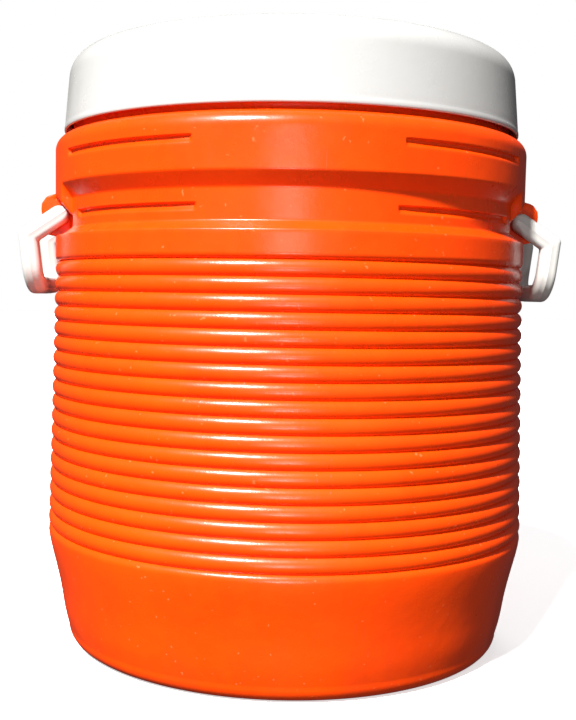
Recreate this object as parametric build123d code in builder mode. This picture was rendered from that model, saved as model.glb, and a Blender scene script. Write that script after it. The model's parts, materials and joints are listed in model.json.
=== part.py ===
"""Large insulated water jug: ribbed outer shell, foam, inner liner, lift-off lid,
two swinging bail handles and a push-button spigot in a recess low on the back.

Millimetres. +Z is up, the jug stands on z = 0 and its axis is the Z axis.
The handles are on +X and -X, the plain front faces -Y and the spigot faces +Y.
"""

import os
from math import cos, radians, sin

from build123d import *

os.makedirs("parts", exist_ok=True)

# ---------------------------------------------------------------- dimensions
WALL = 3.5                 # blow-moulded wall of the outer shell

# base and skirt of the shell
FOOT_R = 178.5             # outer radius of the flat foot ring
FOOT_IN_R = 152.0          # inner radius of the foot ring
BASE_RAISE = 6.0           # the middle of the base stands off the floor
SKIRT = [(188.6, 13.0), (191.9, 26.0), (195.3, 46.0), (199.3, 65.0), (203.2, 81.0)]

# ribs
RIBS = 18
RIB_PITCH = 12.374
GROOVE_TOP_Z = 323.5       # centre of the highest groove
GROOVE_TOP_R = 197.0
GROOVE_BOTTOM_R = 202.8    # the body swells towards its foot
RIB_HEIGHT = 3.4           # crest over groove

# bands and waist
BAND_R = 200.4
LOWER_BAND_TOP = 344.0
WAIST_LOW = 350.0
WAIST_R = 192.3
WAIST_HIGH = 373.5
TOP_BAND_LOW = 385.0
TOP_BAND_HIGH = 415.5
SHOULDER_R = 189.0
SHOULDER_Z = 427.0

# neck and mouth
NECK_R = 185.5
NECK_BEAD_R = 186.6
NECK_TOP = 450.0
RIM_IN_R = 176.0

# short grooves moulded in the top band and in the waist
FLUTE_FROM = 22.2          # degrees from the front centre line
FLUTE_TO = 62.0
FLUTE_TALL = 5.9
FLUTE_DEEP = 3.0
FLUTE_TOP_Z = 403.7
FLUTE_LOW_Z = 357.3

# handle pads, pockets and lugs
PAD_HALF_DEG = 23.0        # each pad about the X axis
POCKET_HALF_DEG = 23.6
POCKET_FLOOR_R = 187.0
POCKET_LOW = 345.5
POCKET_CEIL_IN = 370.6
POCKET_CEIL_OUT = 384.0
LUG_HALF = 36.0            # half width of a lug along Y
LUG = [(181.0, 379.5), (199.6, 379.5), (205.0, 377.2), (208.8, 371.8),
       (209.2, 367.0), (206.2, 349.0), (203.6, 345.2), (181.0, 345.2)]

# bail handles
PIVOT_X, PIVOT_Z = 192.7, 361.3
ELBOW_X, ELBOW_Z = 218.3, 344.1
GRIP_X, GRIP_Z = 212.8, 296.5      # middle of the bail's lowest edge
BAIL_T = 8.0               # half thickness of the bail seen from the side
ARM_IN, ARM_OUT = 37.5, 50.5       # arms run between these on each side
GRIP_TOP = 310.4
BAIL_CORNER = 24.0         # outer corner of the bail
BAIL_INNER_CORNER = 11.0
PEG_R = 4.5
PEG_CLEAR = 0.06           # radial running clearance
PEG_TIP = 26.0

# inner liner
LINER_WALL = 3.0
LINER_FLOOR = 22.0         # inside floor
LINER_R_LOW = 166.0        # inside radius at the floor
LINER_R_TOP = 170.0        # inside radius at the mouth
LINER_CORNER = 12.0
LINER_FLANGE_R = 186.0
LINER_FLANGE_T = 3.0
LINER_FLAT_Y = 155.0       # inside face of the flat behind the spigot
LINER_FLAT_TOP = 101.0

# lid
LID_LOW = 431.5            # lower edge of the skirt
LID_LOW_R = 193.2
LID_WALL_TOP_Z = 477.0
LID_WALL_TOP_R = 189.2
LID_TOP_R = 162.0          # where the shoulder meets the dome
LID_SHOULDER_TOP = 497.6
LID_TOP = 499.0
LID_WALL = 3.0
PAN_R = 166.0              # outside radius of the pan
PAN_WALL = 3.0
PAN_FLOOR = 424.0          # underside of the pan
PAN_FLANGE_Z = 453.4
PAN_FLANGE_T = 3.0
GASKET_R = 169.6

# spigot recess in the shell
RECESS_HALF = 34.0
RECESS_FLOOR_Y = 165.0
RECESS_ARCH_Z = 63.0       # centre of the arched top

# spigot
SHANK_Z = 44.0             # height of the shank's axis
SHANK_R = 10.0
SHANK_HOLE_R = 10.4
SHANK_END_Y = 141.0
BARREL_Y = 186.0           # the barrel's vertical axis
BARREL_R = 12.0
CHAMBER_R = 8.5
SEAT_Z = 31.0              # underside of the valve seat
SEAT_R = 6.0
OUTLET_Z = 12.0
BARREL_TOP = 60.0
BONNET_R = 13.2
BONNET_TOP = 64.0
STEM_R = 3.5
PRESS = 6.0                # travel of the button
BUTTON_LOW = BONNET_TOP + PRESS + 0.3
BUTTON_TOP = 84.0
BUTTON_R = 12.4
SPRING_R = 7.4             # mean coil radius
SPRING_WIRE = 0.55         # wire radius
SPRING_TURNS = 4.5


def radial_plane(deg):
    """Plane through the Z axis; local x points outwards at this angle, local y is up."""
    a = radians(deg)
    return Plane(origin=(0, 0, 0), x_dir=(cos(a), sin(a), 0), z_dir=(sin(a), -cos(a), 0))


FRONT = radial_plane(270)  # bodies of revolution start on the plain front


def groove_r(z):
    share = (GROOVE_TOP_Z - z) / (RIBS * RIB_PITCH)
    return GROOVE_TOP_R + share * (GROOVE_BOTTOM_R - GROOVE_TOP_R)


GROOVES = [(groove_r(GROOVE_TOP_Z - i * RIB_PITCH), GROOVE_TOP_Z - i * RIB_PITCH)
           for i in range(RIBS + 1)]
LOW_GROOVE = GROOVES[-1]
SKIRT_TOP = (205.9, 95.4)

# ------------------------------------------------- space inside the shell wall
with BuildPart() as shell_cavity:
    with BuildSketch(FRONT):
        with BuildLine():
            Polyline(
                (0, BASE_RAISE + WALL), (FOOT_IN_R - 9, BASE_RAISE + WALL),
                (FOOT_IN_R - 2, WALL), (FOOT_R - 3, WALL), (185.0, 14.5),
                (191.5, 46.0), (199.2, 80.0), (199.2, 100.0),
                (GROOVE_TOP_R - WALL, GROOVE_TOP_Z), (GROOVE_TOP_R - WALL, 339.0),
                (WAIST_R - WALL, 346.0), (WAIST_R - WALL, 377.0),
                (194.5, 388.0), (194.5, 412.0), (NECK_R - WALL, 423.0),
                (NECK_R - WALL, NECK_TOP - WALL), (0, NECK_TOP - WALL),
                close=True)
        make_face()
    revolve(axis=Axis.Z)
    # behind each handle the wall stands further in
    for middle in (0, 180):
        with BuildSketch(radial_plane(middle - POCKET_HALF_DEG - 1.5)):
            with BuildLine():
                Polyline((POCKET_FLOOR_R - WALL, 341.0), (210, 341.0), (210, 388.5),
                         (POCKET_FLOOR_R - WALL, 388.5), close=True)
            make_face()
        revolve(axis=Axis.Z, revolution_arc=2 * POCKET_HALF_DEG + 3, mode=Mode.SUBTRACT)
    # and round the spigot recess
    with BuildSketch(Plane.XZ.offset(-(RECESS_FLOOR_Y - WALL))):
        with BuildLine():
            p = RECESS_HALF + WALL
            l1 = Polyline((p, RECESS_ARCH_Z), (p, -1), (-p, -1), (-p, RECESS_ARCH_Z))
            ThreePointArc((-p, RECESS_ARCH_Z), (0, RECESS_ARCH_Z + p), (p, RECESS_ARCH_Z))
        make_face()
    extrude(amount=-60, mode=Mode.SUBTRACT)

# ------------------------------------------------------------------ outer shell
with BuildPart() as outer_shell:
    with BuildSketch(FRONT):
        with BuildLine():
            Polyline((0, NECK_TOP), (0, BASE_RAISE), (FOOT_IN_R - 7, BASE_RAISE),
                     (FOOT_IN_R, 0), (FOOT_R, 0))
            ThreePointArc((FOOT_R, 0), (185.2, 4.0), SKIRT[0])
            Spline(*SKIRT, SKIRT_TOP, tangents=[(0.28, 1), (0.1, 1)])
            RadiusArc(SKIRT_TOP, LOW_GROOVE, -7.3)
            for low, high in zip(GROOVES[::-1], GROOVES[-2::-1]):
                middle_r = (low[0] + high[0]) / 2 + RIB_HEIGHT
                ThreePointArc(low, (middle_r, (low[1] + high[1]) / 2), high)
            ThreePointArc(GROOVES[0], (199.5, 325.2), (BAND_R, 328.6))
            Line((BAND_R, 328.6), (BAND_R, TOP_BAND_HIGH))
            ThreePointArc((BAND_R, TOP_BAND_HIGH), (197.1, 423.5), (SHOULDER_R, SHOULDER_Z))
            Polyline((SHOULDER_R, SHOULDER_Z), (NECK_R, SHOULDER_Z), (NECK_R, 438.0),
                     (NECK_BEAD_R, 440.0), (NECK_R, 442.0), (NECK_R, NECK_TOP - 2),
                     (NECK_R - 2, NECK_TOP), (0, NECK_TOP))
        make_face()
    revolve(axis=Axis.Z)
    # waist, front and back; a pad at the full radius of the bands is left round each handle
    reach = 8.0
    low_slope = (WAIST_LOW - LOWER_BAND_TOP) / (BAND_R - WAIST_R)
    high_slope = (TOP_BAND_LOW - WAIST_HIGH) / (BAND_R - WAIST_R)
    for middle in (270, 90):
        with BuildSketch(radial_plane(middle - 90 + PAD_HALF_DEG)):
            with BuildLine():
                Polyline((WAIST_R, WAIST_LOW), (BAND_R + reach, LOWER_BAND_TOP - reach * low_slope),
                         (BAND_R + reach, TOP_BAND_LOW + reach * high_slope),
                         (WAIST_R, WAIST_HIGH), close=True)
            make_face()
        revolve(axis=Axis.Z, revolution_arc=180 - 2 * PAD_HALF_DEG, mode=Mode.SUBTRACT)
    for middle in (0, 180):
        # pocket that the bail's ends sit in
        with BuildSketch(radial_plane(middle - POCKET_HALF_DEG)):
            with BuildLine():
                Polyline((POCKET_FLOOR_R, POCKET_LOW), (215, POCKET_LOW),
                         (215, POCKET_CEIL_OUT), (POCKET_FLOOR_R, POCKET_CEIL_IN), close=True)
            make_face()
        revolve(axis=Axis.Z, revolution_arc=2 * POCKET_HALF_DEG, mode=Mode.SUBTRACT)
    # a lug between the arms of each bail
    for side in (1, -1):
        with BuildSketch(Plane.XZ):
            with BuildLine():
                Polyline(*[(side * x, z) for x, z in LUG], close=True)
            make_face()
        extrude(amount=LUG_HALF, both=True)
    # short grooves, two on the front and two on the back at each height
    for start in (270 + FLUTE_FROM, 270 - FLUTE_TO, 90 + FLUTE_FROM, 90 - FLUTE_TO):
        with BuildSketch(radial_plane(start)):
            with BuildLine():
                Polyline((BAND_R - FLUTE_DEEP, FLUTE_TOP_Z + 0.8), (BAND_R + 4, FLUTE_TOP_Z - 0.6),
                         (BAND_R + 4, FLUTE_TOP_Z + FLUTE_TALL + 0.6),
                         (BAND_R - FLUTE_DEEP, FLUTE_TOP_Z + FLUTE_TALL - 0.8), close=True)
            make_face()
            with BuildLine():
                Polyline((WAIST_R - FLUTE_DEEP, FLUTE_LOW_Z + 0.8), (WAIST_R + 4, FLUTE_LOW_Z - 0.6),
                         (WAIST_R + 4, FLUTE_LOW_Z + FLUTE_TALL + 0.6),
                         (WAIST_R - FLUTE_DEEP, FLUTE_LOW_Z + FLUTE_TALL - 0.8), close=True)
            make_face()
        revolve(axis=Axis.Z, revolution_arc=FLUTE_TO - FLUTE_FROM, mode=Mode.SUBTRACT)
    # spigot recess: arched top, floor sloping out through the foot
    with BuildSketch(Plane.XZ.offset(-RECESS_FLOOR_Y)):
        with BuildLine():
            Polyline((RECESS_HALF, RECESS_ARCH_Z), (RECESS_HALF, 16.0), (-RECESS_HALF, 16.0),
                     (-RECESS_HALF, RECESS_ARCH_Z))
            ThreePointArc((-RECESS_HALF, RECESS_ARCH_Z), (0, RECESS_ARCH_Z + RECESS_HALF),
                          (RECESS_HALF, RECESS_ARCH_Z))
        make_face()
    extrude(amount=-60, mode=Mode.SUBTRACT)
    with BuildSketch(Plane.YZ):
        with BuildLine():
            Polyline((RECESS_FLOOR_Y, 16.0), (177.5, -1), (230, -1), (230, 16.5),
                     (RECESS_FLOOR_Y, 16.5), close=True)
        make_face()
    extrude(amount=RECESS_HALF, both=True, mode=Mode.SUBTRACT)
    # hollow inside
    add(shell_cavity.part, mode=Mode.SUBTRACT)
    # mouth
    with BuildSketch(Plane.XY.offset(NECK_TOP - WALL - 1)):
        Circle(RIM_IN_R)
    extrude(amount=WALL + 2, mode=Mode.SUBTRACT)
    # hole for the spigot's shank
    with BuildSketch(Plane.XZ.offset(-(RECESS_FLOOR_Y - WALL - 1))):
        with Locations((0, SHANK_Z)):
            Circle(SHANK_HOLE_R)
    extrude(amount=-(WALL + 2), mode=Mode.SUBTRACT)
    # hole the foam is poured through
    with BuildSketch(Plane.XY.offset(BASE_RAISE - 1)):
        Circle(11.0)
    extrude(amount=WALL + 2, mode=Mode.SUBTRACT)
    # blind bores for the pegs of the bails
    for side in (1, -1):
        for end in (1, -1):
            with BuildSketch(Plane.XZ.offset(-end * (PEG_TIP - 0.5))):
                with Locations((side * PIVOT_X, PIVOT_Z)):
                    Circle(PEG_R + PEG_CLEAR)
            extrude(amount=-end * 12, mode=Mode.SUBTRACT)

# ------------------------------------------------------------------ inner liner
with BuildPart() as liner_outside:
    with BuildSketch(FRONT):
        with BuildLine():
            ro, zo = LINER_R_LOW + LINER_WALL, LINER_FLOOR - LINER_WALL
            c = LINER_CORNER + LINER_WALL
            Polyline((0, NECK_TOP + LINER_FLANGE_T), (0, zo), (ro - c, zo))
            ThreePointArc((ro - c, zo), (ro - c * (1 - 0.70711), zo + c * (1 - 0.70711)),
                          (ro, zo + c))
            Polyline((ro, zo + c), (LINER_R_TOP + LINER_WALL, NECK_TOP),
                     (LINER_FLANGE_R, NECK_TOP), (LINER_FLANGE_R, NECK_TOP + LINER_FLANGE_T),
                     (0, NECK_TOP + LINER_FLANGE_T))
        make_face()
    revolve(axis=Axis.Z)
    with BuildSketch(Plane.XY):
        with Locations((0, LINER_FLAT_Y + LINER_WALL + 30)):
            Rectangle(200, 60)
    extrude(amount=LINER_FLAT_TOP + LINER_WALL, mode=Mode.SUBTRACT)

with BuildPart() as liner_inside:
    with BuildSketch(FRONT):
        with BuildLine():
            c = LINER_CORNER
            Polyline((0, NECK_TOP + 5), (0, LINER_FLOOR), (LINER_R_LOW - c, LINER_FLOOR))
            ThreePointArc((LINER_R_LOW - c, LINER_FLOOR),
                          (LINER_R_LOW - c * (1 - 0.70711), LINER_FLOOR + c * (1 - 0.70711)),
                          (LINER_R_LOW, LINER_FLOOR + c))
            Polyline((LINER_R_LOW, LINER_FLOOR + c), (LINER_R_TOP, NECK_TOP),
                     (LINER_R_TOP + 2, NECK_TOP + 5), (0, NECK_TOP + 5))
        make_face()
    revolve(axis=Axis.Z)
    with BuildSketch(Plane.XY):
        with Locations((0, LINER_FLAT_Y + 30)):
            Rectangle(200, 60)
    extrude(amount=LINER_FLAT_TOP, mode=Mode.SUBTRACT)

with BuildPart() as inner_liner:
    add(liner_outside.part)
    add(liner_inside.part, mode=Mode.SUBTRACT)
    with BuildSketch(Plane.XZ.offset(-(LINER_FLAT_Y - 1))):
        with Locations((0, SHANK_Z)):
            Circle(SHANK_HOLE_R)
    extrude(amount=-(LINER_WALL + 2), mode=Mode.SUBTRACT)

# -------------------------------------------------------------- insulation foam
with BuildPart() as insulation_foam:
    add(shell_cavity.part)
    add(liner_outside.part, mode=Mode.SUBTRACT)
    with BuildSketch(Plane.XZ.offset(-(LINER_FLAT_Y + LINER_WALL - 1))):
        with Locations((0, SHANK_Z)):
            Circle(SHANK_HOLE_R + 0.4)
    extrude(amount=-(RECESS_FLOOR_Y - LINER_FLAT_Y), mode=Mode.SUBTRACT)

# --------------------------------------------------------------- foam fill plug
with BuildPart() as foam_fill_plug:
    with BuildSketch(Plane.XY.offset(BASE_RAISE - 1.5)):
        Circle(14.0)
    extrude(amount=1.5)
    with BuildSketch(Plane.XY.offset(BASE_RAISE)):
        Circle(10.9)
    extrude(amount=WALL - 0.1)
    chamfer(foam_fill_plug.faces().sort_by(Axis.Z)[0].edges(), 0.6)
    with BuildSketch(Plane.XY.offset(BASE_RAISE - 1.5)):
        Circle(7.0)
    extrude(amount=1.2, mode=Mode.SUBTRACT)

# ------------------------------------------------------------------------- lid
with BuildPart() as lid_cover:
    with BuildSketch(Plane.XZ):
        with BuildLine():
            top = (LID_TOP_R, LID_SHOULDER_TOP)
            # outside, from the skirt's lip up over the shoulder to the middle
            Polyline((LID_LOW_R - 1.6, LID_LOW), (LID_LOW_R - 0.4, LID_LOW), (LID_LOW_R, LID_LOW + 0.6),
                     (LID_LOW_R + 0.1, LID_LOW + 3.0), (LID_LOW_R - 0.6, LID_LOW + 4.4),
                     (LID_WALL_TOP_R, LID_WALL_TOP_Z))
            Spline((LID_WALL_TOP_R, LID_WALL_TOP_Z), (182.4, 490.2), top,
                   tangents=[(-0.09, 1), (-1, 0.1)])
            Spline(top, (0, LID_TOP), tangents=[(-1, 0.02), (-1, 0)])
            # inside
            Line((0, LID_TOP), (0, LID_TOP - LID_WALL))
            Spline((0, LID_TOP - LID_WALL), (LID_TOP_R - 1, LID_SHOULDER_TOP - LID_WALL),
                   tangents=[(1, 0), (1, -0.02)])
            Spline((LID_TOP_R - 1, LID_SHOULDER_TOP - LID_WALL), (180.0, 488.0),
                   (LID_WALL_TOP_R - LID_WALL, LID_WALL_TOP_Z - 1), tangents=[(1, -0.1), (0.09, -1)])
            Polyline((LID_WALL_TOP_R - LID_WALL, LID_WALL_TOP_Z - 1), (187.2, PAN_FLANGE_Z + PAN_FLANGE_T + 4),
                     (184.6, PAN_FLANGE_Z + PAN_FLANGE_T + 2), (184.6, PAN_FLANGE_Z + PAN_FLANGE_T),
                     (187.5, PAN_FLANGE_Z + PAN_FLANGE_T), (188.6, 446.0),
                     (188.9, 441.0), (188.0, 438.5), (189.6, 435.5), (LID_LOW_R - 1.6, LID_LOW))
        make_face()
    revolve(axis=Axis.Z)

with BuildPart() as lid_liner:
    with BuildSketch(Plane.XZ):
        with BuildLine():
            z = PAN_FLANGE_Z
            Polyline((0, PAN_FLOOR), (PAN_R - 6, PAN_FLOOR), (PAN_R - 1, PAN_FLOOR + 5),
                     (PAN_R, 439.0), (PAN_R - 1.5, 439.0), (PAN_R - 1.5, 445.0), (PAN_R, 445.0),
                     (PAN_R, z), (187.3, z), (187.3, z + PAN_FLANGE_T),
                     (PAN_R - PAN_WALL, z + PAN_FLANGE_T), (PAN_R - PAN_WALL - 1, PAN_FLOOR + 7),
                     (PAN_R - 8, PAN_FLOOR + PAN_WALL), (0, PAN_FLOOR + PAN_WALL), close=True)
        make_face()
    revolve(axis=Axis.Z)

with BuildPart() as lid_gasket:
    with BuildSketch(Plane.XZ):
        with BuildLine():
            Polyline((PAN_R - 1.5, 439.2), (PAN_R + 0.6, 439.2), (GASKET_R - 0.4, 440.6),
                     (GASKET_R, 441.4), (PAN_R + 1.2, 442.2), (GASKET_R, 443.4),
                     (GASKET_R - 0.4, 444.2), (PAN_R + 0.6, 444.8), (PAN_R - 1.5, 444.8), close=True)
        make_face()
    revolve(axis=Axis.Z)

with BuildPart() as lid_foam:
    with BuildSketch(Plane.XZ):
        with BuildLine():
            Polyline((0, PAN_FLOOR + PAN_WALL), (PAN_R - 7.2, PAN_FLOOR + PAN_WALL),
                     (PAN_R - PAN_WALL - 0.2, PAN_FLOOR + 7),
                     (PAN_R - PAN_WALL + 0.8, PAN_FLANGE_Z + PAN_FLANGE_T),
                     (184.6, PAN_FLANGE_Z + PAN_FLANGE_T), (184.6, PAN_FLANGE_Z + PAN_FLANGE_T + 2),
                     (188.2, PAN_FLANGE_Z + PAN_FLANGE_T + 5.6), (188.2, LID_WALL_TOP_Z),
                     (175.0, 497.0), (0, 497.5), close=True)
        make_face()
    revolve(axis=Axis.Z)
    add(lid_liner.part, mode=Mode.SUBTRACT)
    with BuildSketch(Plane.XZ):
        with BuildLine():
            # everything at and outside the cover's inner face
            Line((0, 520), (0, LID_TOP - LID_WALL))
            Spline((0, LID_TOP - LID_WALL), (LID_TOP_R - 1, LID_SHOULDER_TOP - LID_WALL),
                   tangents=[(1, 0), (1, -0.02)])
            Spline((LID_TOP_R - 1, LID_SHOULDER_TOP - LID_WALL), (180.0, 488.0),
                   (LID_WALL_TOP_R - LID_WALL, LID_WALL_TOP_Z - 1), tangents=[(1, -0.1), (0.09, -1)])
            Polyline((LID_WALL_TOP_R - LID_WALL, LID_WALL_TOP_Z - 1), (187.2, PAN_FLANGE_Z + PAN_FLANGE_T + 4),
                     (184.6, PAN_FLANGE_Z + PAN_FLANGE_T + 2), (184.6, PAN_FLANGE_Z + PAN_FLANGE_T - 1),
                     (210, PAN_FLANGE_Z + PAN_FLANGE_T - 1), (210, 520), (0, 520))
        make_face()
    revolve(axis=Axis.Z, mode=Mode.SUBTRACT)

# --------------------------------------------------------------------- handles
def along(a, b):
    dx, dz = b[0] - a[0], b[1] - a[1]
    length = (dx * dx + dz * dz) ** 0.5
    return dx / length, dz / length


U1 = along((PIVOT_X, PIVOT_Z), (ELBOW_X, ELBOW_Z))
U2 = along((ELBOW_X, ELBOW_Z), (GRIP_X, GRIP_Z))
N1, N2 = (-U1[1], U1[0]), (-U2[1], U2[0])          # outward normals
MITRE = 1 + N1[0] * N2[0] + N1[1] * N2[1]
MX, MZ = (N1[0] + N2[0]) / MITRE * BAIL_T, (N1[1] + N2[1]) / MITRE * BAIL_T

with BuildPart() as right_handle:
    # side view of the bail
    with BuildSketch(Plane.XZ):
        with BuildLine():
            Polyline((PIVOT_X + N1[0] * BAIL_T, PIVOT_Z + N1[1] * BAIL_T),
                     (ELBOW_X + MX, ELBOW_Z + MZ),
                     (GRIP_X + N2[0] * BAIL_T, GRIP_Z + N2[1] * BAIL_T - 2),
                     (GRIP_X - N2[0] * BAIL_T, GRIP_Z - N2[1] * BAIL_T - 2),
                     (ELBOW_X - MX, ELBOW_Z - MZ),
                     (PIVOT_X - N1[0] * BAIL_T, PIVOT_Z - N1[1] * BAIL_T), close=True)
        make_face()
        with Locations((PIVOT_X, PIVOT_Z)):
            Circle(BAIL_T)
    extrude(amount=ARM_OUT, both=True)
    # seen from outside it is a U: the finger opening
    with BuildSketch(Plane.YZ.offset(150)):
        with BuildLine():
            r, g, w = BAIL_INNER_CORNER, GRIP_TOP, ARM_IN
            Polyline((-w, 420), (-w, g + r))
            ThreePointArc((-w, g + r), (-w + r * 0.29289, g + r * 0.29289), (-w + r, g))
            Line((-w + r, g), (w - r, g))
            ThreePointArc((w - r, g), (w - r * 0.29289, g + r * 0.29289), (w, g + r))
            Polyline((w, g + r), (w, 420), (-w, 420))
        make_face()
    extrude(amount=100, mode=Mode.SUBTRACT)
    # and its round outer corners
    for side in (1, -1):
        with BuildSketch(Plane.YZ.offset(150)):
            with BuildLine():
                r, g, w = BAIL_CORNER, GRIP_Z, side * ARM_OUT
                Polyline((w, g + r), (side * 70, g + r), (side * 70, g - 20), (w - side * r, g - 20),
                         (w - side * r, g))
                ThreePointArc((w - side * r, g), (w - side * r * 0.29289, g + r * 0.29289), (w, g + r))
            make_face()
        extrude(amount=100, mode=Mode.SUBTRACT)
    with BuildSketch(Plane.YZ.offset(150)):
        with Locations((0, GRIP_Z - 10)):
            Rectangle(140, 20)
    extrude(amount=100, mode=Mode.SUBTRACT)
    # soften the long edges
    long_edges = right_handle.edges().filter_by(lambda e: e.length > 9 and e.center().Z < 366)
    try:
        chamfer(long_edges, 1.8)
    except Exception as error:
        print("handle edges left sharp:", error)
    # pegs that snap into the lug
    for end in (1, -1):
        with BuildSketch(Plane.XZ.offset(-end * PEG_TIP)):
            with Locations((PIVOT_X, PIVOT_Z)):
                Circle(PEG_R)
        extrude(amount=-end * (ARM_IN + 2 - PEG_TIP))

with BuildPart() as left_handle:
    add(right_handle.part.mirror(Plane.YZ))

# ---------------------------------------------------------------------- spigot
with BuildPart() as spigot_body:
    # barrel and spout
    with BuildSketch(Plane.XZ.offset(-BARREL_Y)):
        with BuildLine():
            Polyline((0, OUTLET_Z), (8.4, OUTLET_Z), (9.2, OUTLET_Z + 1), (BARREL_R, 20.5),
                     (BARREL_R, 55.5), (10.6, 55.5), (10.6, BARREL_TOP), (0, BARREL_TOP), close=True)
        make_face()
    revolve(axis=Axis((0, BARREL_Y, 0), (0, 0, 1)))
    # arm to the flange, and the shank through the wall
    with BuildSketch(Plane.XZ.offset(-SHANK_END_Y)):
        with Locations((0, SHANK_Z)):
            Circle(SHANK_R)
    extrude(amount=-(BARREL_Y - SHANK_END_Y))
    with BuildSketch(Plane.XZ.offset(-(RECESS_FLOOR_Y + 2))):
        with Locations((0, SHANK_Z)):
            Circle(16.0)
    extrude(amount=-3)
    with BuildSketch(Plane.XZ.offset(-(RECESS_FLOOR_Y + 4))):
        with Locations((0, SHANK_Z)):
            Circle(11.2)
    extrude(amount=-8)
    # bores
    with BuildSketch(Plane.XZ.offset(-BARREL_Y)):
        with BuildLine():
            Polyline((0, OUTLET_Z - 1), (6.4, OUTLET_Z - 1), (6.6, OUTLET_Z), (9.8, 19.5),
                     (9.8, SEAT_Z), (SEAT_R, SEAT_Z), (SEAT_R, SEAT_Z + 3), (CHAMBER_R, SEAT_Z + 3),
                     (CHAMBER_R, BARREL_TOP + 1), (0, BARREL_TOP + 1), close=True)
        make_face()
    revolve(axis=Axis((0, BARREL_Y, 0), (0, 0, 1)), mode=Mode.SUBTRACT)
    with BuildSketch(Plane.XZ.offset(-(SHANK_END_Y - 1))):
        with Locations((0, SHANK_Z)):
            Circle(6.5)
    extrude(amount=-(BARREL_Y - SHANK_END_Y), mode=Mode.SUBTRACT)

with BuildPart() as spigot_bonnet:
    with BuildSketch(Plane.XZ.offset(-BARREL_Y)):
        with BuildLine():
            Polyline((STEM_R + 0.1, BONNET_TOP), (STEM_R + 0.1, 61.0), (4.45, 61.0), (4.45, 49.5),
                     (8.4, 49.5), (8.4, BARREL_TOP + 0.05), (10.65, BARREL_TOP + 0.05), (10.65, 55.6),
                     (BONNET_R - 0.6, 55.6), (BONNET_R, 56.2), (BONNET_R, BONNET_TOP - 0.9),
                     (BONNET_R - 0.9, BONNET_TOP), close=True)
        make_face()
    revolve(axis=Axis((0, BARREL_Y, 0), (0, 0, 1)))
    # flutes for the fingers when it is screwed on
    with BuildSketch(Plane.XY.offset(55)):
        with Locations((0, BARREL_Y)):
            with PolarLocations(BONNET_R + 0.5, 18):
                Circle(1.0)
    extrude(amount=7.5, mode=Mode.SUBTRACT)

with BuildPart() as spigot_stem:
    with BuildSketch(Plane.XZ.offset(-BARREL_Y)):
        with BuildLine():
            Polyline((0, 25.9), (4.8, 25.9), (4.8, 27.9), (2.2, 27.9), (2.2, 30.9), (4.2, 30.9),
                     (4.2, 33.0), (STEM_R, 34.0), (STEM_R, 57.2), (2.4, 57.2), (2.4, 59.8),
                     (STEM_R, 59.8), (STEM_R, BUTTON_TOP - 5), (0, BUTTON_TOP - 5), close=True)
        make_face()
    revolve(axis=Axis((0, BARREL_Y, 0), (0, 0, 1)))

with BuildPart() as stem_o_ring:
    with BuildSketch(Plane.XZ.offset(-BARREL_Y)):
        with Locations((3.41, 58.5)):
            Circle(0.99)
    revolve(axis=Axis((0, BARREL_Y, 0), (0, 0, 1)))

with BuildPart() as spigot_valve_seal:
    with BuildSketch(Plane.XZ.offset(-BARREL_Y)):
        with BuildLine():
            Polyline((2.2, 27.9), (7.4, 27.9), (8.0, 28.5), (8.0, 30.2), (7.4, 30.9), (2.2, 30.9),
                     close=True)
        make_face()
    revolve(axis=Axis((0, BARREL_Y, 0), (0, 0, 1)))

with BuildPart() as spigot_button:
    with BuildSketch(Plane.XZ.offset(-BARREL_Y)):
        with BuildLine():
            Polyline((0, BUTTON_TOP - 1), (0, BUTTON_TOP - 5), (STEM_R, BUTTON_TOP - 5),
                     (STEM_R, BUTTON_TOP - 10), (5.6, BUTTON_TOP - 10), (5.6, BUTTON_TOP - 4),
                     (10.4, BUTTON_TOP - 4), (10.4, BUTTON_LOW), (BUTTON_R, BUTTON_LOW),
                     (BUTTON_R, BUTTON_TOP - 2), (BUTTON_R - 0.6, BUTTON_TOP - 0.6),
                     (BUTTON_R - 2, BUTTON_TOP), (BUTTON_R - 5, BUTTON_TOP - 0.5),
                     (4.0, BUTTON_TOP - 1), (0, BUTTON_TOP - 1))
        make_face()
    revolve(axis=Axis((0, BARREL_Y, 0), (0, 0, 1)))

SPRING_LOW = BONNET_TOP + SPRING_WIRE + 0.02
SPRING_HIGH = BUTTON_TOP - 4 - SPRING_WIRE - 0.02
with BuildPart() as spigot_spring:
    with BuildLine() as coil:
        Helix(pitch=(SPRING_HIGH - SPRING_LOW) / SPRING_TURNS, height=SPRING_HIGH - SPRING_LOW,
              radius=SPRING_R, center=(0, BARREL_Y, SPRING_LOW))
    with BuildSketch(Plane(origin=coil.line @ 0, z_dir=coil.line % 0)):
        Circle(SPRING_WIRE)
    sweep(path=coil.line, is_frenet=True)

with BuildPart() as spigot_outer_gasket:
    with BuildSketch(Plane.XZ.offset(-RECESS_FLOOR_Y)):
        with Locations((0, SHANK_Z)):
            Circle(15.4)
            Circle(SHANK_R + 0.3, mode=Mode.SUBTRACT)
    extrude(amount=-2)

with BuildPart() as spigot_inner_gasket:
    with BuildSketch(Plane.XZ.offset(-(LINER_FLAT_Y - 2))):
        with Locations((0, SHANK_Z)):
            Circle(15.6)
            Circle(SHANK_R + 0.3, mode=Mode.SUBTRACT)
    extrude(amount=-2)

with BuildPart() as spigot_nut:
    with BuildSketch(Plane.XZ.offset(-(LINER_FLAT_Y - 10))):
        with Locations((0, SHANK_Z)):
            RegularPolygon(radius=17.6, side_count=6)
            Circle(SHANK_R + 0.05, mode=Mode.SUBTRACT)
    extrude(amount=-6)
    with BuildSketch(Plane.XZ.offset(-(LINER_FLAT_Y - 4))):
        with Locations((0, SHANK_Z)):
            Circle(18.0)
            Circle(SHANK_R + 0.05, mode=Mode.SUBTRACT)
    extrude(amount=-2)

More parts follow.
